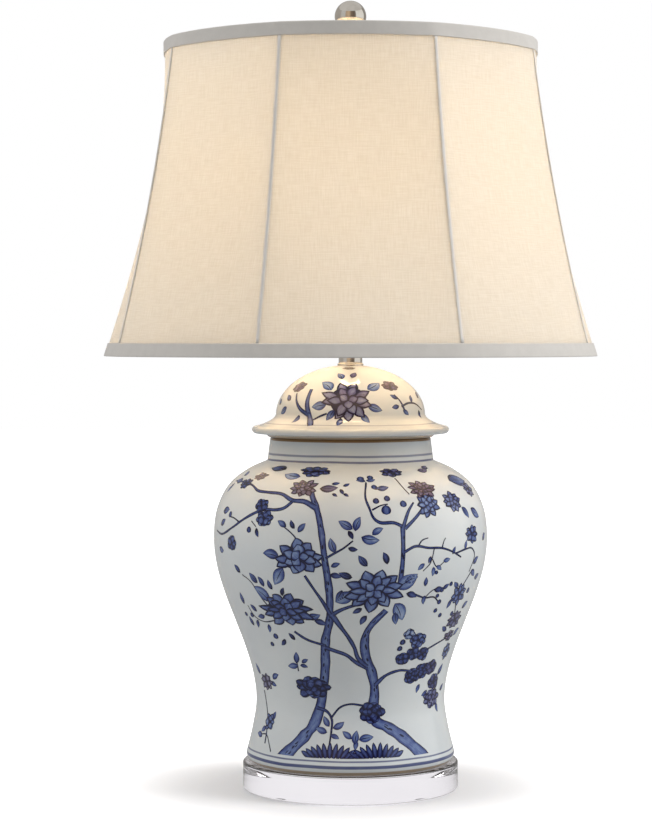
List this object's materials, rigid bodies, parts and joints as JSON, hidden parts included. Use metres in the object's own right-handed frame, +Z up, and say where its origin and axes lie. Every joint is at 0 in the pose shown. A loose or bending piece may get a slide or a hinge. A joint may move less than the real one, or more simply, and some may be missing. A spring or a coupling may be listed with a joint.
{
  "type": "table lamp",
  "caption": "Table lamp: painted porcelain ginger jar and domed lid on a clear disc, with a harp, a panelled cloth shade and a ball finial.",
  "frame": {"origin": "on the standing surface, under the lamp's axis", "axes": "+Z up along the lamp's axis, -Y towards the front, +X to the viewer's right"},
  "size_m": [0.4646, 0.4646, 0.745],
  "materials": {
    "acrylic": "clear, polished",
    "bumper": "clear, soft",
    "adhesive": "clear",
    "porcelain": "glossy white glaze with blue painting",
    "bushing_plastic": "satin",
    "steel": "zinc plated",
    "gasket_rubber": "matt",
    "nickel": "polished nickel",
    "liner_board": "pressed fibre",
    "phenolic": "moulded",
    "brass": "plain",
    "knob_plastic": "moulded, satin",
    "solder": "dull",
    "bulb_insulation": "dark glass",
    "bulb_metal": "rolled",
    "bulb_glass": "frosted inside, lit",
    "clear_glass": "clear",
    "tungsten": "wire",
    "frame_wire": "white enamel",
    "shade_cloth": "off-white linen weave",
    "lining_cloth": "smooth satin cloth",
    "trim_cloth": "folded linen tape"
  },
  "bodies": {
    "lamp_body": {"acrylic_base": "acrylic", "base_bumpers": "bumper", "foot_bond": "adhesive", "jar": "porcelain", "cord_bushing": "bushing_plastic", "jar_lid": "porcelain", "lamp_rod": "steel", "rod_gasket": "gasket_rubber", "rod_washer": "steel", "rod_nut": "steel", "neck": "nickel", "harp_saddle": "nickel", "saddle_nut": "nickel", "socket_cap": "nickel", "cap_set_screw": "steel", "socket_shell": "nickel", "socket_liner": "liner_board", "socket_body": "phenolic", "terminal_screws": "brass", "screw_shell": "brass", "centre_contact": "brass"},
    "switch": {"switch_shaft": "brass", "switch_knob": "knob_plastic"},
    "harp": {"harp": "nickel"},
    "sleeve_front": {"harp_sleeve_front": "nickel"},
    "sleeve_back": {"harp_sleeve_back": "nickel"},
    "harp_swivel": {"harp_stud": "nickel"},
    "shade": {"shade_spider": "frame_wire", "shade_bottom_ring": "frame_wire", "shade_ribs": "frame_wire", "shade_panels": "shade_cloth", "shade_lining": "lining_cloth", "shade_top_trim": "trim_cloth", "shade_bottom_trim": "trim_cloth", "shade_seam_tapes": "trim_cloth"},
    "finial": {"finial_ball": "nickel", "finial_stem": "nickel"},
    "bulb": {"bulb_contact": "solder", "bulb_insulator": "bulb_insulation", "bulb_cap": "bulb_metal", "bulb_glass": "bulb_glass", "bulb_stem": "clear_glass", "bulb_filament": "tungsten"}
  },
  "joints": [
    {"name": "switch_turn", "type": "hinge", "parent": "lamp_body", "child": "switch", "pos_m": [0.016, 0, 0.465], "axis": [1, 0, 0], "continuous": true},
    {"name": "harp_lift", "type": "slide", "parent": "lamp_body", "child": "harp", "axis": [0, 0, 1], "range_m": [0, 0.012]},
    {"name": "sleeve_front_slide", "type": "slide", "parent": "harp", "child": "sleeve_front", "axis": [0, 0, 1], "range_m": [0, 0.011]},
    {"name": "sleeve_back_slide", "type": "slide", "parent": "harp", "child": "sleeve_back", "axis": [0, 0, 1], "range_m": [0, 0.011]},
    {"name": "shade_swivel", "type": "hinge", "parent": "harp", "child": "harp_swivel", "pos_m": [0, 0, 0.6875], "axis": [0, 0, 1], "continuous": true},
    {"name": "shade_lift", "type": "slide", "parent": "harp_swivel", "child": "shade", "axis": [0, 0, 1], "range_m": [0, 0.31]},
    {"name": "finial_unscrew", "type": "slide", "parent": "shade", "child": "finial", "axis": [0, 0, 1], "range_m": [0, 0.012]},
    {"name": "bulb_unscrew", "type": "slide", "parent": "lamp_body", "child": "bulb", "axis": [0, 0, 1], "range_m": [0, 0.033]}
  ]
}
